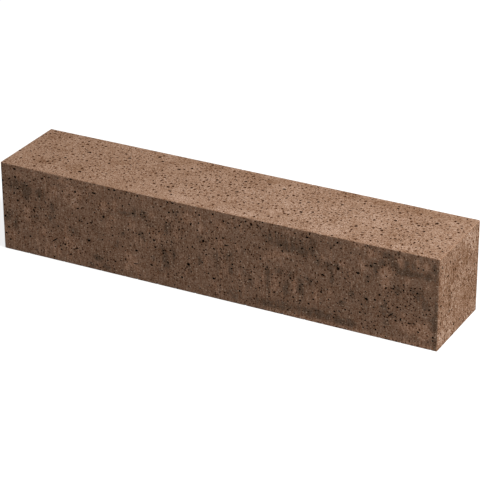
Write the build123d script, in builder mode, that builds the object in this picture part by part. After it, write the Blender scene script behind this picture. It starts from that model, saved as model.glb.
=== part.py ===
"""Pressed concrete stacking block for low garden walls: one solid piece with slightly rounded arrises.

The block lies on its bed face, as it left the mould. X runs along its length, Y through its depth
and Z up. The origin is at the middle of the bed face. All sizes are in millimetres.
"""

from build123d import *
import os

# Driving dimensions
block_length = 600.0
block_depth = 120.0
block_height = 120.0
corner_radius = 1.2
top_arris_radius = 0.8
bed_arris_radius = 0.5

# The mould's plan is a rectangle with slightly rounded corners, and the fill gives the block its height.
# The tamper shoe rounds the top arrises. The bed arrises stay almost sharp, as they lay on the board.
with BuildPart() as stacking_block:
    with BuildSketch(Plane.XY):
        RectangleRounded(block_length, block_depth, corner_radius)
    extrude(amount=block_height)
    fillet(stacking_block.faces().sort_by(Axis.Z)[-1].edges(), radius=top_arris_radius)
    fillet(stacking_block.faces().sort_by(Axis.Z)[0].edges(), radius=bed_arris_radius)
stacking_block.part.label = "stacking_block"

os.makedirs("parts", exist_ok=True)
export_step(stacking_block.part, "parts/stacking_block.step")
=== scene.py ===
"""The stacking block as it looks: brown pressed concrete with open pores, stained sides and worn arrises.

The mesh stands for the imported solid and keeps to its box. Lengths are in metres unless a name ends in _mm.
X runs along the block, Y from its front to its back and Z up from its bed face.
"""

import math
from collections import namedtuple

import bmesh
import bpy
import numpy as np
from mathutils import Matrix, Vector, noise


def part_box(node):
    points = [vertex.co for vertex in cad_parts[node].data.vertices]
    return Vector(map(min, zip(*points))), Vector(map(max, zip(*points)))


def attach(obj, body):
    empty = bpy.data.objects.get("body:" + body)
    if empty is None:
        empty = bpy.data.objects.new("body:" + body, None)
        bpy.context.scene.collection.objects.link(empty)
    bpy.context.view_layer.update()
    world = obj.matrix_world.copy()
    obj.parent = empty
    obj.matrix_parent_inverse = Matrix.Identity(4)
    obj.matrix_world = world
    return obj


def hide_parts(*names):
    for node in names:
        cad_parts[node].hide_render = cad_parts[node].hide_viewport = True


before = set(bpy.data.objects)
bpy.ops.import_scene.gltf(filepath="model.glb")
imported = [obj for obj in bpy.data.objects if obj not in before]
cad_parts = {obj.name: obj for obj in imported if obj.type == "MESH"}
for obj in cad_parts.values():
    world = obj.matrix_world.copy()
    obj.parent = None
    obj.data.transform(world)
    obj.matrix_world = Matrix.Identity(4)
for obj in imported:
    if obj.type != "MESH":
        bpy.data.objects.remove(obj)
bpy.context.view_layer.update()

# The block is one piece of semi-dry brown concrete, tamped in a steel mould and pushed out of it at once.
# Its arrises are crisp but a little uneven, and the front top one has settled a little at mid-length.
MM = 0.001
low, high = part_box("stacking_block")
size = high - low
middle = (low + high) / 2
corner_radius = 1.2 * MM
top_arris_radius = 0.8 * MM
bed_arris_radius = 0.5 * MM
grid_step = 3.5 * MM
settled = 1.4 * MM
swell, swell_length = 0.10 * MM, 60 * MM
ripple, ripple_length = 0.06 * MM, 13 * MM
arris_wear, wear_length, wear_offset = 0.22 * MM, 9 * MM, Vector((7, 3, 5))
wear_gain = 5
touching = 0.01 * MM
mostly, downward = 0.7, -0.9
finish_names = ["tamped_top", "mould_face", "mould_end", "bed_face", "shallow_pore_shade", "open_pore_shade", "deep_pore_shade"]
TOP, FACE, END, BED, SHALLOW_PORE_SHADE, OPEN_PORE_SHADE, DEEP_PORE_SHADE = range(7)

body = bmesh.new()
bmesh.ops.create_cube(body, size=1.0, matrix=Matrix.Translation(middle) @ Matrix.Diagonal((*size, 1.0)))


def round_arrises(edges, radius):
    """Rounds edges of the body to a radius."""
    bmesh.ops.bevel(body, geom=edges, offset=radius, offset_type="OFFSET", affect="EDGES", segments=2,
                    profile=0.5, material=-1)


round_arrises([e for e in body.edges if abs(e.verts[0].co.z - e.verts[1].co.z) > size.z / 2], corner_radius)
round_arrises([e for e in body.edges if min(v.co.z for v in e.verts) > high.z - touching], top_arris_radius)
round_arrises([e for e in body.edges if max(v.co.z for v in e.verts) < low.z + touching], bed_arris_radius)
for axis in range(3):
    steps = round(size[axis] / grid_step)
    direction = Vector((axis == 0, axis == 1, axis == 2))
    for step in range(1, steps):
        bmesh.ops.bisect_plane(body, geom=body.verts[:] + body.edges[:] + body.faces[:],
                               plane_co=low + direction * (size[axis] * step / steps), plane_no=direction)

body.normal_update()
for face in body.faces:
    if abs(face.normal.z) > mostly:
        face.material_index = TOP if face.normal.z > 0 else BED
    else:
        face.material_index = FACE if abs(face.normal.y) > mostly else END
moves = []
for vert in body.verts:
    waves = swell * (1 + noise.noise(vert.co / swell_length))
    waves += ripple * (1 + noise.noise(vert.co / ripple_length))
    on_arris = min(1.0, wear_gain * (1 - max(abs(n) for n in vert.normal)))
    worn = on_arris * arris_wear * (1 + noise.noise(vert.co / wear_length + wear_offset))
    along, across, above = ((vert.co[axis] - middle[axis]) / (size[axis] / 2) for axis in range(3))
    sag = settled * max(0.0, above) ** 6 * max(0.0, -across) ** 2 * (1 - along ** 2)
    bedded = vert.normal.z < downward
    moves.append(Vector() if bedded else -vert.normal * (waves + worn) - Vector((0, 0, sag)))
for vert, move in zip(body.verts, moves):
    vert.co += move
block_mesh = bpy.data.meshes.new("concrete_block")
body.to_mesh(block_mesh)
body.free()
block = bpy.data.objects.new("concrete_block", block_mesh)
bpy.context.scene.collection.objects.link(block)

# Its pores are where the semi-dry mix didn't close: dense on the tamped top, fewer and rounder on the sides.
# They are cut from the block as cavities, the main ones where this block has them and the rest at random.
# Their insides get finishes painted dark to near black: painted shade for the hollows.
Wall = namedtuple("Wall", "corner right below facing width_mm height_mm")
along_x, along_y, along_z = Vector((1, 0, 0)), Vector((0, 1, 0)), Vector((0, 0, 1))


def wall(corner, right, below):
    """One face of the block, with its upper left corner as seen from outside and its directions there."""
    spans = [abs(direction.dot(size)) / MM for direction in (right, below)]
    return Wall(Vector(corner), right, below, below.cross(right), *spans)


walls = {
    "top": wall((low.x, high.y, high.z), along_x, -along_y),
    "front": wall((low.x, low.y, high.z), along_x, -along_z),
    "back": wall((high.x, high.y, high.z), -along_x, -along_z),
    "bed": wall((low.x, low.y, low.z), along_x, along_y),
    "right": wall((high.x, low.y, high.z), along_y, -along_z),
    "left": wall((low.x, high.y, high.z), -along_y, -along_z),
}
# Each main pore: mm right and down on its wall, its width and height in mm, and its slant if it has one
main_pores = {
    "front": [
        (21, 5.5, 4.1, 2.9), (21.5, 16.5, 3.6, 3.7), (24.5, 32, 3.7, 2.5), (109.5, 18.5, 3.3, 4.1),
        (137, 14.5, 6.3, 2.9), (149.5, 44, 3.3, 4.3), (127, 81.5, 4.5, 3.7), (82.5, 71.5, 3.2, 3.2),
        (92, 94.5, 3.1, 3.9), (99.5, 107, 3.7, 2.4), (9.5, 106, 3.3, 2.7), (3.5, 74.5, 3.3, 3.3),
        (132.5, 55, 2.1, 6.5, 0.2), (18.5, 39.5, 3.7, 2.3), (24, 48.5, 4.1, 2.3, -0.6),
        (112.5, 40.5, 4.1, 2.3), (91, 21.5, 2.5, 3.7), (76, 92.5, 10.9, 1.8, -0.67),
        (107.5, 97.5, 10.9, 1.6, -0.3), (104, 2.6, 4.1, 2.3), (177.5, 23, 2.9, 3.7), (185, 54, 2.8, 3.6),
        (221, 60, 4.3, 2.9), (196, 80, 4.2, 2.9), (290, 45.5, 3.7, 3.9), (269.5, 82, 4.3, 4.2),
        (241, 4.5, 2.8, 3.2), (248, 4.2, 4.1, 2.3), (243, 17.5, 3.9, 2.4), (249, 15.5, 2.5, 4.5),
        (255, 14.5, 3.7, 2.3), (258.5, 7, 2.8, 3.0), (166.5, 4.2, 4.4, 2.9), (158.5, 5, 3.9, 2.4),
        (192, 30, 4.3, 2.3), (273, 27, 2.7, 6.0, 0.5), (275, 57, 2.4, 4.1), (180, 95.5, 2.8, 4.0),
        (194.5, 98.5, 8.4, 1.6, -0.2), (217, 95, 4.4, 2.7, 0.3), (303.5, 7, 3.7, 2.5),
        (355.5, 9.5, 3.9, 3.1), (354, 13.2, 3.1, 2.2), (340, 14, 2.8, 3.3), (342, 9.2, 2.1, 4.1, 0.5),
        (364.5, 8.5, 5.3, 1.6, 0.6), (414, 8, 3.0, 3.2), (430, 9.5, 5.3, 2.3), (433, 5, 2.4, 3.2),
        (423.5, 25.5, 3.9, 2.5), (395.5, 27.5, 3.9, 2.3), (397.5, 35, 2.1, 5.1), (366.5, 37.5, 2.2, 4.1),
        (317.5, 35.5, 3.9, 2.5), (321.5, 44.5, 7.2, 1.8), (314.5, 51, 1.9, 4.5, -0.5),
        (305, 53, 4.5, 2.3, 0.3), (325.5, 57.5, 3.0, 3.6), (304, 93.5, 4.2, 3.3), (354, 83, 5.1, 2.2),
        (386.5, 92.5, 3.7, 2.2), (412, 93, 3.3, 2.2), (421.5, 95.5, 3.6, 2.9), (439, 89.5, 3.3, 2.1),
        (471, 41.5, 4.1, 4.0), (497, 41, 3.7, 3.7), (451.5, 54, 4.5, 2.8, 0.3),
        (508, 72.5, 4.5, 3.3, 0.3), (469.5, 7.5, 2.4, 4.9, 0.5), (513, 28, 4.3, 2.5, 0.4),
        (507, 29, 5.1, 1.6), (555, 50, 2.7, 3.2), (572.5, 50, 3.3, 2.5), (518.5, 23.5, 5.6, 1.8, -0.2),
        (592.5, 15, 2.3, 3.3), (569, 54.5, 5.3, 1.6, 0.5), (552.5, 89, 2.5, 5.1),
        (539.5, 86, 9.6, 1.8, -0.7), (564, 91.5, 6.0, 1.5, -0.15), (569.5, 90.5, 3.0, 2.5),
        (575, 100, 3.7, 2.3), (481, 93, 3.3, 2.3), (459, 85, 3.1, 2.5),
    ],
    "top": [
        (8, 14, 3.2, 4.1), (139, 35, 4.7, 4.7), (84, 43, 6.5, 3.7), (77, 38, 4.7, 2.4),
        (66, 71, 4.3, 4.1), (124, 61, 3.7, 4.3), (52, 90, 3.5, 4.7), (104, 99, 4.7, 4.5),
        (95, 67, 3.3, 4.5), (93, 17, 4.1, 3.7), (171, 15, 4.5, 6.1), (181, 25, 4.3, 4.1),
        (211, 37, 5.0, 4.5), (224, 27, 4.1, 5.0), (224, 88, 5.2, 3.9), (232, 97, 3.9, 3.9),
        (238, 105, 3.7, 4.5), (218, 107, 3.9, 4.1), (268, 43, 3.9, 4.7), (251, 77, 4.1, 4.1),
        (266, 84, 2.6, 4.7), (208, 75, 3.2, 6.0), (274, 47, 4.1, 4.1), (302, 31, 4.8, 4.7),
        (332, 44, 3.5, 4.1), (306, 63, 4.7, 5.2), (345, 81, 3.0, 4.5), (368, 51, 2.6, 6.9),
        (401, 78, 4.3, 5.4), (414, 72, 3.7, 4.7), (436, 37, 4.8, 4.7), (354, 29, 5.2, 4.3),
        (332, 25, 3.5, 5.0), (389, 56, 3.7, 5.0), (397, 49, 5.0, 3.2), (386, 49, 3.2, 3.9),
        (407, 43, 3.7, 3.9), (558, 33, 4.7, 6.5), (511, 48, 4.5, 4.1), (583, 88, 3.2, 4.8),
        (461, 117, 3.9, 3.5), (488, 58, 3.3, 4.7), (476, 83, 3.9, 4.8), (553, 60, 3.9, 4.1),
        (546, 22, 3.0, 4.7), (541, 48, 3.5, 4.1), (589, 32, 3.0, 4.3), (585, 5, 3.2, 3.7),
        (508, 80, 3.9, 5.6), (531, 93, 4.3, 3.3),
    ],
    "right": [
        (7, 13, 3.0, 5.0), (25, 32, 3.4, 3.4), (30, 53, 3.0, 4.0), (33, 82, 3.4, 4.0), (33, 61, 1.6, 4.4),
        (32, 67, 1.5, 3.4), (33, 73, 1.6, 5.0), (48, 59, 1.5, 4.6), (49, 73, 1.5, 4.0),
        (38, 60, 3.4, 2.6), (7, 63, 4.0, 3.4), (49, 106, 3.6, 4.0), (67, 63, 3.0, 2.6),
        (108, 53, 3.0, 3.4),
    ],
}
# Small pores of one size on a wall: their width and height in mm, then mm right and down for each
small_pores = {
    "front": ((2.65, 2.35), [
        (112, 32), (65, 43), (35, 21), (34, 25), (39, 21), (38, 25), (48, 66), (51, 63), (2, 25),
        (145, 29), (104, 49), (61, 75), (100, 69), (18, 80), (15, 85), (138, 103), (146, 102), (129, 112),
        (138, 113), (147, 114), (40, 95), (60, 90), (85, 98), (94, 99), (72, 81), (62, 10), (65, 7),
        (85, 5), (72, 7), (85, 14), (79, 15), (98, 13), (44, 18), (49, 15), (13, 20), (5, 14), (28, 29),
        (15, 30), (56, 36), (70, 37), (83, 48), (74, 43), (62, 53), (57, 52), (49, 53), (51, 42),
        (37, 44), (26, 56), (10, 60), (47, 57), (79, 58), (78, 61), (71, 64), (74, 62), (65, 61),
        (21, 72), (45, 80), (88, 76), (75, 75), (90, 72), (99, 74), (102, 80), (91, 86), (97, 89),
        (104, 76), (126, 70), (127, 73), (118, 57), (126, 58), (110, 53), (114, 57), (98, 59), (106, 64),
        (146, 50), (149, 69), (147, 76), (149, 92), (86, 103), (77, 101), (31, 100), (22, 95), (4, 98),
        (8, 89), (31, 86), (49, 112), (59, 113), (75, 116), (119, 29), (99, 4), (119, 38), (137, 41),
        (184, 3), (162, 32), (203, 29), (208, 26), (209, 31), (211, 36), (205, 54), (200, 66), (182, 99),
        (173, 99), (235, 92), (240, 86), (234, 75), (234, 71), (275, 101), (285, 111), (298, 104),
        (260, 102), (252, 99), (240, 103), (240, 106), (157, 75), (162, 67), (187, 75), (189, 81),
        (193, 73), (185, 65), (177, 60), (217, 83), (207, 85), (204, 87), (221, 15), (232, 12), (225, 10),
        (174, 13), (189, 11), (168, 10), (176, 6), (182, 6), (199, 5), (201, 9), (163, 15), (187, 19),
        (285, 12), (280, 10), (263, 13), (254, 23), (260, 23), (257, 27), (263, 27), (247, 29), (238, 24),
        (284, 23), (239, 32), (257, 37), (262, 35), (261, 40), (282, 33), (295, 34), (288, 41), (282, 42),
        (288, 51), (260, 49), (268, 59), (239, 59), (232, 64), (246, 57), (216, 42), (229, 46), (236, 49),
        (215, 52), (196, 56), (192, 56), (200, 57), (185, 46), (162, 46), (223, 69), (212, 72), (270, 71),
        (270, 74), (254, 73), (250, 75), (244, 69), (294, 63), (291, 58), (288, 75), (297, 88), (292, 88),
        (264, 91), (273, 91), (267, 86), (255, 97), (191, 102), (165, 102), (154, 103), (163, 113),
        (174, 112), (200, 113), (249, 115), (269, 112), (163, 84), (184, 90), (176, 79), (161, 56),
        (150, 68), (157, 24), (348, 7), (361, 4), (371, 3), (368, 12), (373, 14), (388, 12), (423, 8),
        (448, 11), (437, 21), (439, 25), (433, 24), (441, 32), (406, 33), (417, 35), (429, 38), (444, 37),
        (376, 27), (342, 26), (331, 34), (328, 36), (334, 39), (308, 38), (326, 46), (301, 52), (316, 56),
        (338, 56), (336, 49), (343, 42), (348, 44), (313, 63), (341, 62), (372, 61), (377, 61), (375, 64),
        (384, 69), (388, 60), (360, 65), (368, 52), (400, 51), (415, 50), (404, 43), (409, 44), (396, 65),
        (398, 61), (412, 63), (411, 71), (408, 69), (421, 54), (435, 54), (427, 63), (431, 64), (436, 66),
        (444, 65), (422, 62), (424, 73), (421, 80), (421, 76), (394, 78), (394, 82), (384, 83), (369, 81),
        (368, 77), (410, 84), (438, 81), (449, 77), (356, 72), (349, 71), (345, 69), (341, 69), (330, 68),
        (329, 74), (340, 87), (330, 91), (322, 87), (314, 92), (367, 91), (362, 93), (380, 94), (421, 99),
        (449, 92), (433, 97), (399, 98), (380, 100), (363, 103), (340, 102), (340, 96), (313, 101),
        (312, 110), (307, 115), (349, 113), (415, 107), (443, 103), (405, 100), (310, 23), (347, 20),
        (334, 18), (324, 14), (318, 13), (301, 18), (332, 6), (337, 30), (396, 15), (381, 17), (415, 14),
        (421, 16), (303, 30), (447, 29), (529, 13), (530, 23), (527, 27), (505, 4), (508, 3), (517, 8),
        (524, 7), (474, 14), (461, 17), (465, 12), (457, 11), (579, 18), (569, 7), (555, 8), (573, 17),
        (590, 4), (457, 37), (470, 37), (474, 30), (483, 43), (484, 48), (480, 52), (464, 53), (463, 67),
        (457, 72), (488, 67), (488, 73), (491, 70), (500, 68), (507, 63), (509, 43), (510, 49), (525, 50),
        (525, 63), (535, 62), (531, 69), (537, 69), (534, 72), (537, 78), (528, 77), (519, 71), (533, 52),
        (542, 51), (540, 55), (545, 55), (548, 57), (533, 37), (521, 34), (541, 27), (545, 32), (555, 43),
        (561, 52), (564, 48), (565, 45), (571, 58), (589, 52), (576, 43), (556, 61), (569, 61), (558, 70),
        (563, 68), (566, 74), (571, 72), (583, 69), (588, 68), (590, 73), (548, 74), (542, 73), (552, 76),
        (585, 75), (581, 76), (576, 80), (580, 84), (583, 88), (557, 86), (555, 93), (546, 92), (542, 91),
        (546, 87), (534, 84), (562, 95), (587, 102), (537, 99), (532, 104), (519, 105), (507, 101),
        (510, 108), (520, 99), (500, 92), (507, 92), (502, 81), (518, 81), (489, 96), (488, 105),
        (473, 97), (467, 99), (468, 103), (466, 107), (459, 95), (476, 83), (480, 79), (471, 87),
        (505, 111), (594, 103), (594, 107), (588, 110), (534, 116), (521, 110), (526, 85), (524, 91),
        (498, 77), (543, 47), (498, 16), (487, 17),
    ]),
    "top": ((3.2, 3.7), [
        (10, 5), (93, 23), (79, 29), (80, 17), (105, 14), (128, 26), (37, 13), (25, 19), (15, 36),
        (12, 48), (45, 66), (28, 88), (16, 97), (44, 95), (49, 98), (63, 51), (105, 63), (108, 55),
        (121, 83), (147, 67), (141, 80), (143, 43), (138, 44), (89, 116), (117, 113), (96, 106),
        (102, 90), (122, 71), (3, 79), (108, 81), (33, 81), (64, 81), (72, 104), (77, 61), (83, 68),
        (94, 34), (86, 36), (34, 41), (30, 50), (69, 58), (59, 42), (101, 42), (67, 31), (60, 19),
        (69, 22), (76, 8), (126, 15), (117, 15), (114, 21), (56, 102), (127, 103), (61, 113), (44, 110),
        (81, 52), (112, 75), (25, 54), (99, 68), (58, 95), (87, 102), (174, 9), (165, 23), (153, 24),
        (155, 45), (168, 63), (176, 71), (156, 78), (155, 113), (172, 98), (181, 104), (201, 112),
        (225, 113), (207, 43), (207, 66), (201, 63), (229, 84), (204, 87), (211, 94), (214, 87),
        (189, 87), (253, 32), (260, 31), (238, 31), (234, 35), (224, 37), (209, 22), (235, 12), (242, 6),
        (275, 11), (252, 43), (257, 49), (256, 55), (269, 35), (289, 47), (293, 44), (294, 55), (269, 77),
        (257, 79), (268, 92), (277, 90), (276, 84), (296, 72), (290, 81), (293, 83), (287, 88),
        (277, 109), (273, 114), (266, 114), (286, 114), (285, 96), (297, 107), (299, 62), (277, 60),
        (268, 65), (260, 66), (235, 61), (223, 78), (231, 78), (191, 40), (185, 56), (191, 60), (188, 69),
        (158, 71), (270, 22), (232, 45), (228, 46), (235, 108), (212, 103), (205, 109), (303, 13),
        (307, 17), (324, 13), (318, 16), (328, 27), (344, 23), (309, 34), (318, 33), (304, 44), (309, 47),
        (338, 46), (314, 45), (317, 62), (322, 80), (319, 88), (323, 89), (305, 93), (326, 93), (301, 77),
        (346, 71), (354, 89), (352, 98), (356, 97), (349, 98), (344, 104), (358, 108), (364, 99),
        (363, 71), (363, 77), (367, 77), (370, 83), (371, 105), (376, 107), (382, 100), (385, 91),
        (390, 91), (387, 76), (385, 81), (380, 83), (377, 80), (381, 59), (372, 40), (377, 41), (385, 40),
        (403, 38), (407, 61), (394, 64), (414, 38), (422, 25), (431, 29), (429, 14), (377, 22), (363, 19),
        (376, 13), (355, 17), (395, 42), (422, 49), (434, 63), (433, 67), (436, 76), (423, 78), (427, 76),
        (414, 77), (419, 90), (419, 98), (436, 89), (433, 98), (409, 108), (424, 110), (388, 112),
        (378, 102), (356, 113), (342, 111), (330, 113), (309, 112), (301, 115), (317, 117), (346, 52),
        (355, 50), (363, 58), (326, 61), (331, 71), (355, 74), (392, 78), (442, 82), (448, 62), (396, 18),
        (308, 28), (459, 22), (457, 15), (507, 26), (531, 18), (525, 35), (537, 44), (544, 59), (536, 69),
        (528, 69), (503, 50), (503, 65), (499, 75), (496, 78), (504, 76), (512, 90), (480, 73), (486, 76),
        (491, 89), (503, 98), (492, 101), (475, 94), (472, 105), (496, 107), (507, 110), (516, 109),
        (490, 114), (536, 93), (556, 110), (565, 111), (567, 101), (554, 99), (555, 92), (552, 84),
        (548, 88), (558, 87), (536, 82), (581, 91), (588, 63), (584, 66), (580, 21), (575, 18), (576, 42),
        (575, 34), (590, 44), (576, 97), (549, 39), (549, 46), (545, 104), (529, 42), (473, 57),
        (466, 41), (465, 60), (473, 24), (520, 95), (581, 106), (574, 114), (557, 116), (523, 58),
        (522, 27), (566, 81), (592, 10), (571, 69), (564, 64),
    ]),
    "right": ((2.6, 3.4), [(109, 67), (57, 21), (40, 23), (54, 45), (67, 108), (14, 52)]),
}
# Each wall's other pores: how many, median and largest width in mm, longest shape and how far it turns
Scatter = namedtuple("Scatter", "count width_mm widest_mm longest turn")
scatters = {
    "top": Scatter(1250, 2.1, 3.4, 2.2, math.pi),
    "front": Scatter(90, 1.5, 2.0, 1.4, math.pi),
    "back": Scatter(500, 2.0, 3.2, 1.5, math.pi),
    "bed": Scatter(300, 2.2, 3.6, 1.8, math.pi),
    "right": Scatter(150, 2.3, 3.6, 2.6, 0.4),
    "left": Scatter(150, 2.3, 3.6, 2.6, 0.4),
}
width_spread = 0.38
narrowest_mm = 1.3
narrowing, tallest_share = 0.85, 1.5
small_share = (0.75, 1.25)
arris_gap_mm = 2.6
pore_gap_mm = 0.4
nick_spacing_mm = 26
nick_mm = (1.4, 3.2)
nick_inset_mm = 0.4
cluster_length, thinnest_share = 45 * MM, 0.55
lump_range, depth_range = (0.72, 1.18), (1.2, 2.0)
fine_ball_width = 3.2 * MM
sharp_angle = math.radians(35)

Pore = namedtuple("Pore", "wall centre width height turn finish")
chance = np.random.default_rng(11)
pores = []
most_pores = 5000
taken_places, taken_reaches = np.zeros((most_pores, 3)), np.zeros(most_pores)


def add_pore(face, across_mm, down_mm, width_mm, height_mm, turn=0.0, finish=DEEP_PORE_SHADE):
    """Keeps a pore at a place on a wall, unless it would run into an earlier one."""
    count = len(pores)
    centre = face.corner + (face.right * across_mm + face.below * down_mm) * MM
    reach = max(width_mm, height_mm) / 2 * MM
    between = np.linalg.norm(taken_places[:count] - np.array(centre), axis=1)
    if np.any(between - taken_reaches[:count] - reach < pore_gap_mm * MM):
        return False
    taken_places[count], taken_reaches[count] = centre, reach
    pores.append(Pore(face, centre, width_mm * MM, height_mm * MM, turn, finish))
    return True


for name, main in main_pores.items():
    extent, small = small_pores[name]
    for pore in main:
        add_pore(walls[name], *pore, finish=OPEN_PORE_SHADE if name == "top" else DEEP_PORE_SHADE)
    for place in small:
        share = chance.uniform(*small_share)
        width_mm, height_mm = (share * length for length in extent)
        finish = SHALLOW_PORE_SHADE if name == "top" else DEEP_PORE_SHADE
        add_pore(walls[name], *place, width_mm, height_mm, finish=finish)
for face in (walls["top"], walls["bed"]):
    for edge_mm in (nick_inset_mm, face.height_mm - nick_inset_mm):
        for nick in range(int(face.width_mm / nick_spacing_mm)):
            across_mm = (nick + chance.uniform(0.1, 0.9)) * nick_spacing_mm
            nick_width_mm, nick_height_mm = chance.uniform(*nick_mm), chance.uniform(*nick_mm)
            add_pore(face, across_mm, edge_mm, nick_width_mm, nick_height_mm, finish=SHALLOW_PORE_SHADE)
for name, scatter in scatters.items():
    face = walls[name]
    kept = 0
    while kept < scatter.count:
        spread = np.exp(chance.normal(0, width_spread))
        width_mm = float(np.clip(scatter.width_mm * spread, narrowest_mm, scatter.widest_mm))
        height_mm = min(width_mm * chance.uniform(1.0, scatter.longest), tallest_share * scatter.widest_mm)
        across_mm = chance.uniform(arris_gap_mm, face.width_mm - arris_gap_mm)
        down_mm = chance.uniform(arris_gap_mm, face.height_mm - arris_gap_mm)
        turn = chance.uniform(-scatter.turn, scatter.turn)
        place = face.corner + (face.right * across_mm + face.below * down_mm) * MM
        if chance.uniform() > thinnest_share + noise.noise(place / cluster_length):
            continue
        finish = DEEP_PORE_SHADE if name in ("front", "back") else SHALLOW_PORE_SHADE
        kept += add_pore(face, across_mm, down_mm, width_mm * narrowing, height_mm, turn, finish)

balls = []
for subdivisions in (1, 2):
    ball = bmesh.new()
    bmesh.ops.create_icosphere(ball, subdivisions=subdivisions, radius=1.0)
    ball_corners = np.array([vert.co for vert in ball.verts])
    ball_faces = np.array([[vert.index for vert in face.verts] for face in ball.faces])
    balls.append((ball_corners, ball_faces))
    ball.free()
corners, faces, corner_count = [], [], 0
for pore in pores:
    ball, ball_faces = balls[1 if pore.width > fine_ball_width else 0]
    spin = np.array(Matrix.Rotation(chance.uniform(0, math.tau), 3, "Z"))
    lumps = ball @ spin * chance.uniform(*lump_range, (len(ball), 1))
    pore_depth = min(pore.width, pore.height) * chance.uniform(*depth_range)
    turn = np.array(Matrix.Rotation(pore.turn, 3, "Z"))
    turned = lumps * (pore.width / 2, pore.height / 2, pore_depth / 2) @ turn
    directions = np.array([pore.wall.right, -pore.wall.below, pore.wall.facing])
    corners.append(turned @ directions + np.array(pore.centre))
    faces.append(ball_faces + corner_count)
    corner_count += len(ball)
cutter_mesh = bpy.data.meshes.new("pore_cutters")
cutter_mesh.from_pydata(np.vstack(corners), [], np.vstack(faces))
cutter = bpy.data.objects.new("pore_cutters", cutter_mesh)
bpy.context.scene.collection.objects.link(cutter)
for name in finish_names:
    block_mesh.materials.append(bpy.data.materials.new(name))
for number in (SHALLOW_PORE_SHADE, OPEN_PORE_SHADE, DEEP_PORE_SHADE):
    cutter_mesh.materials.append(block_mesh.materials[number])
slots = [pore.finish - SHALLOW_PORE_SHADE for pore in pores]
cutter_mesh.polygons.foreach_set("material_index", np.repeat(slots, [len(shape) for shape in faces]))

cut = block.modifiers.new("pores", "BOOLEAN")
cut.operation = "DIFFERENCE"
cut.solver = "MANIFOLD"
cut.material_mode = "TRANSFER"
cut.object = cutter
pored_mesh = bpy.data.meshes.new_from_object(block.evaluated_get(bpy.context.evaluated_depsgraph_get()))
block.modifiers.clear()
block.data = pored_mesh
pored_mesh.shade_smooth()
pored_mesh.set_sharp_from_angle(angle=sharp_angle)
bpy.data.objects.remove(cutter)

# The skin is flattened wall by wall onto one square sheet, so that each pore stays at its place on its wall.
# The four long walls lie in strips below each other, with the two ends side by side in the last strip.
margin_mm = 1
strip_mm = round(max(size.y, size.z) / MM) + 2 * margin_mm
last_strip = 4
sheet_mm = (last_strip + 1) * strip_mm + 2 * margin_mm
polygons, loops = pored_mesh.polygons, pored_mesh.loops
centres, normals = np.empty((2, len(polygons), 3))
polygons.foreach_get("center", centres.ravel())
polygons.foreach_get("normal", normals.ravel())
material = np.empty(len(polygons), int)
loop_total = np.empty(len(polygons), int)
polygons.foreach_get("material_index", material)
polygons.foreach_get("loop_total", loop_total)
places = np.empty((len(pored_mesh.vertices), 3))
pored_mesh.vertices.foreach_get("co", places.ravel())
loop_vertex = np.empty(len(loops), int)
loops.foreach_get("vertex_index", loop_vertex)
depth = np.stack([(np.array(face.corner) - centres) @ np.array(face.facing) for face in walls.values()])
leaning = np.stack([normals @ np.array(face.facing) for face in walls.values()])
wall_of = np.where(material >= SHALLOW_PORE_SHADE, depth.argmin(0), leaning.argmax(0))
loop_wall = np.repeat(wall_of, loop_total)
flat_mm = np.zeros((len(loops), 2))
for number, face in enumerate(walls.values()):
    mine = loop_wall == number
    away_mm = (places[loop_vertex[mine]] - np.array(face.corner)) / MM
    start_mm = margin_mm if number <= last_strip else strip_mm + margin_mm
    flat_mm[mine, 0] = start_mm + away_mm @ np.array(face.right)
    flat_mm[mine, 1] = min(number, last_strip) * strip_mm + margin_mm + away_mm @ np.array(face.below)
sheet = pored_mesh.uv_layers.new(name="OFBake")
sheet.uv.foreach_set("vector", (flat_mm / sheet_mm).astype(np.float32).ravel())
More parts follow.
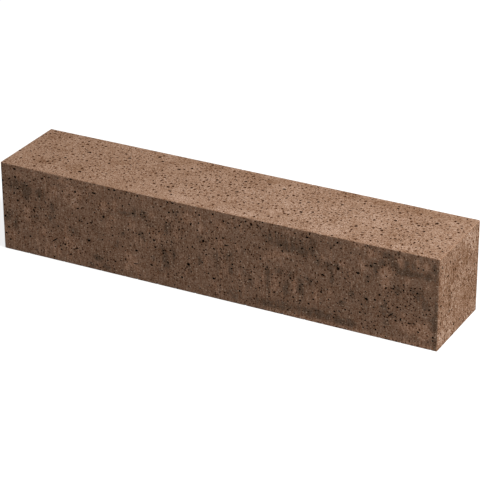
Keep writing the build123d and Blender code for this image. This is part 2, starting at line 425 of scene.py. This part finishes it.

# The skin took marks from the mould: dark film where release oil stayed, and pale places where it tore off.
# The top's marks are partly painted light: sheen on its right and front edge, shade on its left and back
# edge.
# Each mark: mm right and down on its wall, half its width and height in mm, and how dark or pale it is.
marks = {
    "front": [
        (26, 34, 26, 12, 0.25), (238, 76, 18, 14, 0.2), (402, 22, 28, 12, 0.3), (450, 109, 46, 8, 0.15),
        (103, 26, 14, 16, -0.3), (270, 18, 16, 10, -0.2), (520, 60, 130, 90, 0.1),
        (80, 60, 130, 90, -0.08), (21, 26, 14, 8, 0.5), (38, 32, 6, 12, 0.7), (59, 34, 7, 9, 0.55),
        (76, 48, 6, 9, 0.6), (73, 63, 6, 6, 0.45), (54, 51, 6, 5, 0.35), (50, 66, 6, 5, 0.5),
        (18, 82, 5, 9, 0.55), (7, 73, 5, 8, 0.5), (15, 67, 9, 4, 0.3), (38, 91, 12, 7, 0.3),
        (79, 73, 10, 4, 0.4), (80, 92, 5, 3, 0.3), (106, 74, 8, 7, 0.5), (116, 57, 5, 8, 0.3),
        (127, 82, 4, 4, 0.3), (148, 45, 4, 8, 0.35), (142, 71, 4, 12, 0.4), (133, 63, 6, 6, 0.2),
        (144, 21, 4, 5, 0.3), (141, 103, 9, 5, 0.55), (150, 95, 5, 4, 0.4), (130, 115, 5, 4, 0.4),
        (151, 113, 7, 5, 0.5), (161, 36, 4, 5, 0.3), (185, 32, 13, 4, 0.55), (207, 29, 6, 7, 0.5),
        (194, 25, 5, 5, 0.35), (214, 38, 8, 5, 0.35), (203, 56, 6, 5, 0.5), (207, 61, 4, 7, 0.3),
        (177, 61, 5, 5, 0.4), (167, 77, 6, 6, 0.4), (220, 85, 5, 4, 0.4), (241, 39, 5, 9, 0.6),
        (236, 75, 4, 9, 0.5), (239, 89, 5, 8, 0.6), (249, 76, 4, 10, 0.5), (231, 62, 4, 6, 0.3),
        (233, 97, 5, 4, 0.3), (248, 59, 3, 12, 0.2), (269, 85, 4, 6, 0.4), (285, 73, 4, 7, 0.55),
        (289, 46, 7, 5, 0.5), (250, 16, 6, 4, 0.5), (327, 58, 5, 7, 0.6), (329, 78, 5, 9, 0.55),
        (307, 61, 6, 8, 0.4), (310, 75, 4, 8, 0.35), (354, 88, 5, 12, 0.45), (331, 49, 5, 5, 0.25),
        (346, 47, 4, 4, 0.3), (348, 76, 5, 5, 0.35), (376, 21, 7, 8, 0.35), (391, 23, 12, 10, 0.15),
        (409, 28, 16, 6, 0.4), (425, 30, 7, 7, 0.45), (438, 20, 5, 12, 0.5), (444, 39, 4, 9, 0.35),
        (457, 44, 9, 4, 0.4), (464, 39, 12, 4, 0.4), (464, 56, 4, 8, 0.4), (435, 67, 6, 7, 0.35),
        (378, 77, 3.5, 20, 0.6), (393, 64, 5, 5, 0.45), (409, 63, 4, 7, 0.5), (403, 84, 4, 14, 0.55),
        (422, 79, 3.5, 16, 0.5), (451, 73, 3, 5, 0.3), (387, 109, 20, 7, 0.6), (363, 109, 12, 6, 0.35),
        (405, 106, 8, 6, 0.3), (437, 107, 22, 6, 0.45), (485, 110, 18, 5, 0.4), (333, 107, 14, 9, 0.3),
        (507, 77, 4, 9, 0.4), (489, 69, 4, 8, 0.45), (476, 85, 4, 4, 0.5), (506, 89, 4, 4, 0.3),
        (461, 15, 4, 4, 0.3), (471, 7, 4, 4, 0.3), (516, 27, 7, 5, 0.5), (528, 21, 6, 5, 0.55),
        (520, 34, 4, 6, 0.5), (535, 10, 7, 5, 0.6), (542, 18, 6, 5, 0.45), (548, 4, 3, 5, 0.6),
        (559, 14, 3, 6, 0.5), (567, 15, 3, 5, 0.4), (558, 26, 14, 5, 0.8), (584, 26, 12, 4, 0.75),
        (594, 15, 5, 7, 0.6), (511, 46, 6, 8, 0.25), (547, 53, 6, 7, 0.45), (565, 46, 4, 7, 0.35),
        (573, 51, 6, 6, 0.45), (583, 62, 6, 8, 0.35), (531, 79, 4, 12, 0.45), (535, 98, 5, 4, 0.4),
        (542, 85, 5, 4, 0.4), (593, 86, 5, 12, 0.35), (597, 85, 3.5, 38, 0.55),
        (114, 21, 4, 6, -0.8), (108, 34, 4, 7, -0.9), (38, 64, 4, 12, -0.6), (61, 85, 4, 8, -0.4),
        (98, 90, 9, 9, -0.4), (26, 12, 6, 4, -0.4), (77, 24, 6, 5, -0.5), (51, 6, 6, 4, -0.35),
        (93, 7, 6, 5, -0.5), (138, 8, 10, 4, -0.4), (43, 85, 5, 5, -0.25), (9, 96, 7, 5, -0.4),
        (162, 44, 5, 6, -0.4), (156, 55, 5, 6, -0.4), (150, 27, 4, 7, -0.5), (166, 25, 4, 8, -0.4),
        (188, 44, 5, 7, -0.4), (189, 95, 9, 10, -0.4), (183, 85, 4, 5, -0.3), (181, 105, 5, 4, -0.4),
        (197, 105, 6, 5, -0.4), (218, 26, 5, 6, -0.3), (225, 51, 4, 8, -0.35), (241, 25, 8, 4, -0.3),
        (267, 21, 5, 10, -0.5), (287, 28, 4, 6, -0.5), (253, 46, 4, 10, -0.4), (294, 74, 3, 9, -0.4),
        (322, 75, 4, 6, -0.35), (385, 43, 8, 6, -0.8), (373, 51, 5, 7, -0.4), (402, 39, 10, 3, -0.7),
        (372, 77, 2.5, 10, -0.4), (388, 79, 5, 12, -0.45), (414, 77, 4, 11, -0.65), (442, 85, 5, 9, -0.4),
        (460, 77, 4, 12, -0.4), (363, 85, 4, 8, -0.3), (450, 31, 4, 5, -0.5), (406, 9, 8, 4, -0.35),
        (436, 6, 6, 4, -0.35), (496, 5, 12, 4, -0.65), (478, 33, 6, 5, -0.45), (503, 32, 4, 6, -0.4),
        (513, 12, 6, 6, -0.7), (526, 4, 6, 3, -0.3), (532, 32, 8, 7, -1.1), (532, 45, 6, 8, -0.7),
        (550, 14, 3, 8, -0.9), (559, 5, 4, 3, -0.4), (572, 11, 3.5, 6, -0.8), (583, 13, 3.5, 6, -0.8),
        (560, 38, 5, 7, -0.4), (586, 38, 4, 5, -0.4), (582, 98, 11, 11, -1.0), (561, 98, 13, 7, -0.5),
        (542, 96, 5, 5, -0.3), (557, 83, 6, 4, -0.35), (499, 111, 3, 7, -0.6), (313, 21, 10, 9, -0.3),
        (314, 44, 5, 6, -0.4), (337, 43, 4, 5, -0.4), (356, 5, 7, 3, -0.3), (431, 118, 50, 2.5, -0.8),
        (516, 118, 35, 2.5, -0.8), (576, 118, 25, 3, -0.7),
    ],
    # The top's marks are partly a painted sheen, paler to the right and along the front edge, and partly
    # painted shade, darker to the left and along the back edge.
    "top": [
        (60, 60, 120, 70, 0.12), (170, 13, 6, 8, 0.4), (203, 15, 12, 14, 0.5), (236, 9, 22, 7, 0.5),
        (298, 11, 14, 9, 0.6), (331, 14, 22, 7, 0.4), (376, 9, 12, 7, 0.4), (436, 9, 26, 7, 0.4),
        (497, 11, 40, 9, 0.55), (563, 11, 40, 9, 0.5), (44, 93, 12, 6, 0.4), (132, 49, 16, 10, 0.25),
        (98, 89, 14, 10, 0.35), (471, 78, 8, 12, 0.4), (255, 110, 16, 9, -0.6), (335, 112, 30, 9, -0.7),
        (396, 114, 14, 7, -0.5), (446, 109, 30, 12, -0.5), (507, 106, 22, 10, -0.5),
        (553, 111, 20, 8, -0.4), (426, 71, 120, 40, -0.18), (517, 42, 10, 6, -0.4),
        (265, 53, 10, 8, -0.4), (122, 67, 5, 8, -0.35), (553, 43, 6, 4, -0.5),
    ],
    "right": [
        (60, 102, 70, 22, -0.25), (85, 8, 12, 7, -1.0), (103, 19, 7, 13, -0.9), (91, 23, 4, 8, -0.6),
        (11, 105, 10, 9, -0.8), (37, 111, 6, 4, -0.5), (43, 50, 5, 6, -0.4), (79, 51, 5, 6, -0.4),
        (59, 29, 5, 4, -0.4), (33, 61, 3, 16, 0.6), (83, 87, 12, 7, 0.35), (79, 37, 8, 6, 0.35),
        (65, 103, 7, 6, 0.3), (95, 65, 6, 5, 0.3), (49, 89, 3, 14, 0.4),
    ],
}
half_widths_mm, half_heights_mm, darknesses = (3, 9), (4, 16), (-0.6, 0.6)
for name, count in (("back", 150), ("left", 24), ("bed", 60)):
    face = walls[name]
    ranges = [(0, face.width_mm), (0, face.height_mm), half_widths_mm, half_heights_mm, darknesses]
    marks[name] = [[chance.uniform(*limits) for limits in ranges] for _ in range(count)]
edge_wander, wander_length = 2.2 * MM, 7 * MM
drift = np.array([noise.noise_vector(Vector(place) / wander_length) for place in places])
wandered = places + drift * edge_wander
stain = np.zeros(len(loops))
for number, (name, face) in enumerate(walls.items()):
    mine = loop_wall == number
    away_mm = (wandered[loop_vertex[mine]] - np.array(face.corner)) / MM
    across_mm, down_mm = away_mm @ np.array(face.right), away_mm @ np.array(face.below)
    for mark_across_mm, mark_down_mm, half_width_mm, half_height_mm, darkness in marks[name]:
        reach = ((across_mm - mark_across_mm) / half_width_mm) ** 2
        reach += ((down_mm - mark_down_mm) / half_height_mm) ** 2
        stain[mine] += darkness * np.exp(-reach ** 2)
pored_mesh.attributes.new("stain", "FLOAT", "CORNER").data.foreach_set("value", stain)


class Tone:
    """One socket of a finish. Arithmetic on it adds Math nodes to the same finish."""

    def __init__(self, tree, socket=None):
        self.tree = tree
        self.socket = socket

    def node(self, kind, settings=None, inputs=None, output=0):
        """Adds a node: its settings first, then the value or link of each socket named or numbered."""
        made = self.tree.nodes.new("ShaderNode" + kind)
        for name, value in (settings or {}).items():
            setattr(made, name, value)
        for key, value in (inputs or {}).items():
            if isinstance(value, Tone):
                self.tree.links.new(value.socket, made.inputs[key])
            else:
                made.inputs[key].default_value = value
        return Tone(self.tree, made.outputs[output])

    def calculate(self, operation, first, second):
        """One Math node on two values or sockets."""
        return self.node("Math", {"operation": operation}, {0: first, 1: second})

    def __add__(self, other):
        return self.calculate("ADD", self, other)

    __radd__ = __add__

    def __sub__(self, other):
        return self.calculate("SUBTRACT", self, other)

    def __rsub__(self, other):
        return self.calculate("SUBTRACT", other, self)

    def __mul__(self, other):
        return self.calculate("MULTIPLY", self, other)

    __rmul__ = __mul__

    def rise(self, start, end):
        """0 up to start and 1 from end on, with a smooth rise between them."""
        return self.node("MapRange", {"interpolation_type": "SMOOTHSTEP"},
                         {"Value": self, "From Min": start, "From Max": end})

    def rise_above(self, floor):
        """This, but no less than a value."""
        return self.calculate("MAXIMUM", self, floor)

    def stretched(self, factors):
        """This place with each coordinate times a factor."""
        return self.node("VectorMath", {"operation": "MULTIPLY"}, {0: self, 1: factors})

    def wandered(self, length, reach):
        """This place moved about by up to about this reach, with bends of about this length."""
        bends = self.node("TexNoise", None, {"Vector": self, "Scale": 1 / length, "Detail": 1}, "Color")
        moved = bends.node("VectorMath", {"operation": "MULTIPLY_ADD"},
                           {0: bends, 1: (4 * reach,) * 3, 2: (-2 * reach,) * 3})
        return self.node("VectorMath", {"operation": "ADD"}, {0: self, 1: moved})

    def clouds(self, length, detail=2, roughness=0.5):
        """Noise about 0 with a spread of about 1, and features of about this length."""
        octaves = [roughness ** octave for octave in range(detail + 1)]
        octave_spread = 0.14
        spread = octave_spread * math.hypot(*octaves) / sum(octaves)
        pattern = self.node("TexNoise", None, {"Vector": self, "Scale": 1 / length, "Detail": detail,
                                               "Roughness": roughness})
        return (pattern - 0.5) * (1 / spread)

    def dots(self, length, smallest, largest):
        """1 inside the dots of a random flat pattern, about this length apart, with radii between these."""
        soft_edge = 0.3 * MM
        kind, cells = {"voronoi_dimensions": "2D"}, {"Vector": self, "Scale": 1 / length}
        drawn = self.node("SeparateColor", None, {0: self.node("TexVoronoi", kind, cells, "Color")})
        radius = drawn * drawn * ((largest - smallest) / length) + smallest / length
        return (radius - self.node("TexVoronoi", kind, cells)).rise(0.0, soft_edge / length)

    def tint(self, first, second):
        """A colour that is first where this is 0 and second where it is 1."""
        return self.node("Mix", {"data_type": "RGBA"}, {0: self, 6: first, 7: second}, 2)

    def shade(self, colour):
        """A colour times this, redder where it is darker."""
        channel_powers = (0.74, 1.0, 1.26)
        channels = [self.calculate("POWER", self, power) for power in channel_powers]
        mixed = self.node("CombineColor", None, dict(enumerate(channels)))
        return self.node("VectorMath", {"operation": "MULTIPLY"}, {0: colour, 1: mixed})


mottle_length, patch_length, fleck_length, speckle_length = 26 * MM, 6 * MM, 2.8 * MM, 1.4 * MM
streak_length, streak_squeeze, film_squeeze = 4 * MM, 0.15, 0.6
gather_length, score_length = 38 * MM, 50 * MM
dot_bend_length, dot_bend = 2.2 * MM, 0.35 * MM
chip_spacing, chip_radius = 4.4 * MM, 1.0 * MM
patch_height, fleck_height, speckle_height, streak_height = 0.06 * MM, 0.05 * MM, 0.03 * MM, 0.05 * MM
# How deep the fine pits and dots sink, and how much their colour is darkened as painted shade.
pit_depth, pit_painted_shade = 0.5 * MM, 0.6
dot_depth, dot_painted_shade = 0.2 * MM, 0.95
darkest_grain = 0.3
dry_roughness = 0.95


def concrete(number, light, dark, film=1.0, marked=1.0, drag=0.0, sand=0.1, grit=0.2, chip=0.3, pit_start=3.0,
             dots_mm=(6.0, 0.5, 1.0), bare=(0.62, 0.44, 0.32, 1), scrape=0.0, score=0.0, relief=0.7):
    """Pigmented concrete: mottled paste with sand and fine pits, streaked where the mould dragged on it.

    film, marked, drag, scrape and score say how strong the mould's film, marks and drag streaks are.
    sand, grit and chip say how strong the grain is. dots_mm holds the spacing and radii of the finest pores.
    """
    finish = pored_mesh.materials[number]
    finish.use_nodes = True
    tree = finish.node_tree
    surface = tree.nodes["Principled BSDF"]
    place = Tone(tree).node("TexCoord", output="Object")
    dragged = place.stretched((1, 1, 1 - film_squeeze * drag))
    mottle = place.clouds(mottle_length, 3, 0.6)
    patch = dragged.clouds(patch_length, 2, 0.55)
    fleck = dragged.clouds(fleck_length, 2, 0.6)
    speckle = place.clouds(speckle_length, 1, 0.5)
    streak = place.stretched((1, 1, streak_squeeze)).clouds(streak_length, 2, 0.6)
    pits = (dragged.clouds(fleck_length, 2, 0.6) + mottle * 0.35).rise(pit_start, pit_start + 0.5)
    skin_place = Tone(tree).node("UVMap", {"uv_map": "OFBake"}).stretched((sheet_mm * MM,) * 3)
    gathered = place.clouds(gather_length, 1, 0.5).rise(-0.9, 0.1)
    dot_sizes = [length * MM for length in dots_mm]
    dots = skin_place.wandered(dot_bend_length, dot_bend).dots(*dot_sizes) * gathered
    mirrored = skin_place.stretched((1, -1, 1))
    chips = mirrored.wandered(dot_bend_length, dot_bend).dots(chip_spacing, 0.0, chip_radius)
    mark = Tone(tree).node("Attribute", {"attribute_name": "stain"}, output="Fac")
    torn = patch.rise(0.8, 1.8)
    patchy = marked + fleck * 0.3 + streak * (0.5 * drag)
    scored = streak.rise(0.4, 1.4) * place.clouds(score_length, 1, 0.5).rise(-0.5, 0.7)
    film_tone = mottle * 0.1 + patch * 0.2 + streak * (0.4 * drag) - torn * 0.3
    coat = mark * patchy + film_tone * film - scored * score
    edged = coat.rise(0.2, 0.45) + coat.rise(-0.45, -0.2) - 1
    scraped = (streak * 0.25 + speckle * 0.2 - coat).rise(0.9, 1.7) * scrape
    skin = scraped.tint((coat * 0.7 + edged * 0.35).rise(-1.1, 1.1).tint(light, dark), bare)
    grain = 1 + fleck * sand + speckle * grit
    # Pits and dots are darkened in colour as well as sunk by the bump: painted shade in their hollows.
    tone = grain.rise_above(darkest_grain) * (1 - pits * pit_painted_shade) * (1 - dots * dot_painted_shade)
    colour = (chips * chip).tint(tone.shade(skin), bare)
    tree.links.new(colour.socket, surface.inputs["Base Color"])
    grains = patch * patch_height + fleck * fleck_height + speckle * speckle_height
    height = grains + streak * (streak_height * drag)
    hollow = pits * pit_depth + dots * dot_depth
    bump = height.node("Bump", None, {"Height": height - hollow, "Distance": 1.0, "Strength": relief})
    tree.links.new(bump.socket, surface.inputs["Normal"])
    surface.inputs["Roughness"].default_value = dry_roughness
    surface.inputs["Specular IOR Level"].default_value = 0.0


concrete(TOP, (0.482, 0.307, 0.215, 1), (0.337, 0.194, 0.12, 1), film=0.45, sand=0.13, grit=0.22, chip=0.45,
         pit_start=1.1)
concrete(FACE, (0.467, 0.263, 0.167, 1), (0.178, 0.11, 0.0718, 1), film=0.3, marked=1.05, drag=0.5, sand=0.11,
         grit=0.24, chip=1.0, dots_mm=(4.1, 0.3, 1.25), scrape=0.15, score=0.55, relief=0.8)
concrete(END, (0.424, 0.263, 0.177, 1), (0.224, 0.117, 0.0635, 1), film=0.55, drag=0.8, sand=0.37, grit=0.45,
         pit_start=1.0, scrape=0.7, relief=0.3)
concrete(BED, (0.38, 0.228, 0.146, 1), (0.24, 0.14, 0.086, 1), sand=0.12, grit=0.25, pit_start=1.5)
# The pores' finishes are painted shade: their walls are the block's own concrete, painted dark to near black
# for the shade inside the hollows.
for number, light, dark in (
        (SHALLOW_PORE_SHADE, (0.14, 0.058, 0.027, 1), (0.11, 0.046, 0.021, 1)),
        (OPEN_PORE_SHADE, (0.075, 0.03, 0.014, 1), (0.05, 0.02, 0.009, 1)),
        (DEEP_PORE_SHADE, (0.02, 0.01, 0.005, 1), (0.012, 0.006, 0.003, 1))):
    concrete(number, light, dark, film=0.5, grit=0.1, chip=0.0, dots_mm=(20, 0, 0))

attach(block, "root")
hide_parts("stacking_block")

# The studio is a pale floor that keeps the block's shadow, with one large soft lamp high on the right.
# The camera sees a white room and a nearly white floor, while the room lights the block only dimly.
floor_size = 14.0
floor_colour = 0.42
floor_glow = 0.78
room_light = 0.22
lamp_direction = Vector((0.66, -0.07, 0.75)).normalized()
lamp_distance = 3.8
lamp_size = 1.27
lamp_power = 144.0

floor_shape = bmesh.new()
bmesh.ops.create_grid(floor_shape, x_segments=1, y_segments=1, size=floor_size / 2)
floor_mesh = bpy.data.meshes.new("studio_floor")
floor_shape.to_mesh(floor_mesh)
floor_shape.free()
floor = bpy.data.objects.new("studio_floor", floor_mesh)
bpy.context.scene.collection.objects.link(floor)


def seen_directly(tree):
    """1 on the rays that show a background: those from the camera, and those through gloss and glass."""
    kinds = ("Camera", "Glossy", "Transmission")
    rays = [Tone(tree).node("LightPath", output=f"Is {kind} Ray") for kind in kinds]
    return (rays[0] + rays[1] + rays[2]).rise(0.0, 1.0)


floor_paint = bpy.data.materials.new("studio_floor")
floor_paint.use_nodes = True
tree = floor_paint.node_tree
paint = tree.nodes["Principled BSDF"]
paint.inputs["Base Color"].default_value = (floor_colour, floor_colour, floor_colour, 1)
paint.inputs["Roughness"].default_value = 1.0
paint.inputs["Specular IOR Level"].default_value = 0.0
paint.inputs["Emission Strength"].default_value = floor_glow
tree.links.new(seen_directly(tree).socket, paint.inputs["Emission Color"])
floor_mesh.materials.append(floor_paint)

room = bpy.data.worlds.new("studio_room")
room.use_nodes = True
bpy.context.scene.world = room
tree = room.node_tree
brightness = seen_directly(tree) * (1 - room_light) + room_light
tree.links.new(brightness.socket, tree.nodes["Background"].inputs["Strength"])
tree.nodes["Background"].inputs["Color"].default_value = (1, 1, 1, 1)

lamp_light = bpy.data.lights.new("studio_lamp", "AREA")
lamp_light.shape = "DISK"
lamp_light.size = lamp_size
lamp_light.energy = lamp_power
lamp = bpy.data.objects.new("studio_lamp", lamp_light)
lamp.location = middle + lamp_direction * lamp_distance
lamp.rotation_mode = "QUATERNION"
lamp.rotation_quaternion = lamp_direction.to_track_quat("Z", "Y")
bpy.context.scene.collection.objects.link(lamp)

# The camera stands where the photo was taken from: to the right of the front, looking down.
# Its place and its long lens follow from where the block's seven visible corners lie in the photo.
azimuth, elevation, roll = math.radians(27.87), math.radians(25.98), math.radians(-0.2)
camera_distance = 2.7473
camera_right, camera_up = 7.87 * MM, -7.17 * MM
focal_pixels, image_pixels = 2228.2, 480

outward = Vector((math.sin(azimuth) * math.cos(elevation), -math.cos(azimuth) * math.cos(elevation),
                  math.sin(elevation)))
aim = outward.to_track_quat("Z", "Y") @ Matrix.Rotation(roll, 3, "Z").to_quaternion()
lens = bpy.data.cameras.new("camera")
lens.lens = focal_pixels / image_pixels * lens.sensor_width
camera = bpy.data.objects.new("camera", lens)
camera.rotation_mode = "QUATERNION"
camera.rotation_quaternion = aim
camera.location = middle + outward * camera_distance + aim @ Vector((camera_right, camera_up, 0))
bpy.context.scene.collection.objects.link(camera)
bpy.context.scene.camera = camera
bpy.context.scene.view_settings.view_transform = "Standard"
